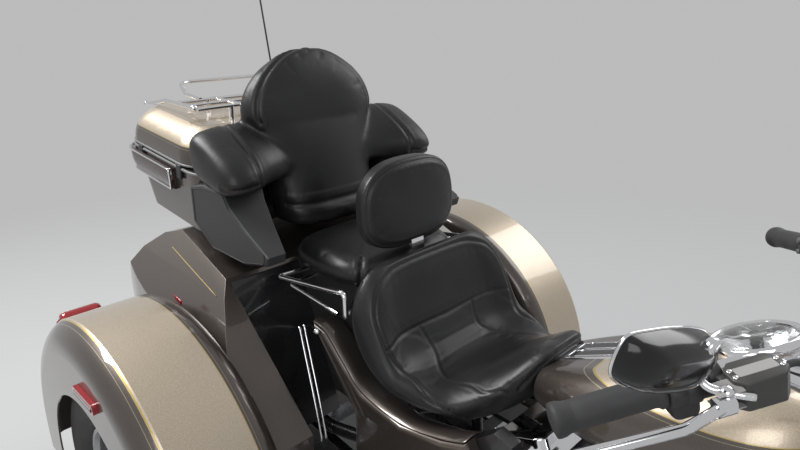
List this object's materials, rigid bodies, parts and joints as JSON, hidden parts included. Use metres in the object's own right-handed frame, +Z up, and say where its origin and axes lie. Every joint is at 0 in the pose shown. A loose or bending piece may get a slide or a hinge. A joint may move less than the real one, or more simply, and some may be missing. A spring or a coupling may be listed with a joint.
{
  "type": "motorized trike",
  "caption": "Three-wheeled touring motorcycle with a trunk between round rear fenders, a lidded top box, stitched seats and a V-twin engine.",
  "frame": {"origin": "on the floor, midway along the length and across the width", "axes": "+Z up, the front faces -Y, the rider's left is +X"},
  "size_m": [1.4126, 2.6699, 1.5529],
  "materials": {
    "tyre": "matte black rubber with a road tread",
    "rubber": "dull dark grey rubber",
    "leather": "smooth black leather with stitched seams",
    "gold": "pale champagne metallic, clear coated",
    "brown": "dark brown-grey metallic, clear coated",
    "black": "gloss black",
    "crinkle": "textured black",
    "chrome": "polished",
    "aluminium": "satin cast",
    "steel": "machined",
    "plastic": "satin black",
    "gloss": "gloss black",
    "clear_lens": "clear, faceted inside",
    "red_lens": "clear red, faceted",
    "amber_lens": "clear amber"
  },
  "bodies": {
    "chassis": {"frame": "black", "swingarm": "black", "rear_axle": "steel", "drive_belt": "rubber", "engine_cases": "aluminium", "engine_covers": "chrome", "cylinders": "crinkle", "rocker_covers": "chrome", "air_cleaner": "chrome", "exhaust": "chrome", "fuel_tank": "brown", "tank_console": "chrome", "trunk_shell": "brown", "right_fender": "brown", "left_fender": "brown", "tail_lamps": "red_lens", "rear_bumper": "chrome", "seat_base": "plastic", "rider_seat": "leather", "passenger_seat": "leather", "rider_backrest": "leather", "passenger_backrest": "leather", "grab_rails": "chrome", "tour_pack_base": "brown", "tour_pack_lamps": "red_lens", "speaker_pods": "plastic", "tour_pack_mount": "plastic", "antenna": "gloss", "side_covers": "brown", "splash_panels": "plastic", "floorboards": "rubber", "foot_levers": "chrome", "engine_guard": "chrome"},
    "front_end": {"front_fork": "chrome", "front_axle": "steel", "front_calipers": "aluminium", "front_fender": "gold", "headlight_nacelle": "chrome", "headlamp_lens": "clear_lens", "light_bar": "chrome", "spot_lenses": "clear_lens", "front_turn_lenses": "amber_lens", "handlebar": "chrome", "grips": "rubber", "hand_controls": "gloss", "hand_levers": "chrome", "mirrors": "gloss"},
    "front_wheel_body": {"front_tyre": "tyre", "front_wheel": "aluminium"},
    "right_rear_wheel_body": {"right_rear_tyre": "tyre", "right_rear_wheel": "aluminium"},
    "left_rear_wheel_body": {"left_rear_tyre": "tyre", "left_rear_wheel": "aluminium"},
    "tour_pack_lid_body": {"tour_pack_lid": "gold", "luggage_rack": "chrome"},
    "trunk_door_body": {"trunk_door": "brown"}
  },
  "joints": [
    {"name": "steering", "type": "hinge", "parent": "chassis", "child": "front_end", "pos_m": [0, -0.622, 0.9], "axis": [0, 0.5, 0.866], "range_deg": [-32, 32]},
    {"name": "front_wheel_spin", "type": "hinge", "parent": "front_end", "child": "front_wheel_body", "pos_m": [0, -1.015, 0.32], "axis": [1, 0, 0], "continuous": true},
    {"name": "right_rear_wheel_spin", "type": "hinge", "parent": "chassis", "child": "right_rear_wheel_body", "pos_m": [-0.567, 0.655, 0.324], "axis": [1, 0, 0], "continuous": true},
    {"name": "left_rear_wheel_spin", "type": "hinge", "parent": "chassis", "child": "left_rear_wheel_body", "pos_m": [0.567, 0.655, 0.324], "axis": [1, 0, 0], "continuous": true},
    {"name": "tour_pack_lid_hinge", "type": "hinge", "parent": "chassis", "child": "tour_pack_lid_body", "pos_m": [0.322, 0.982, 1.055], "axis": [0, 0.9979, 0.0645], "range_deg": [0, 70]},
    {"name": "trunk_door_hinge", "type": "hinge", "parent": "chassis", "child": "trunk_door_body", "pos_m": [0, 1.28919, 0.40603], "axis": [-1, 0, 0], "range_deg": [0, 85]}
  ]
}
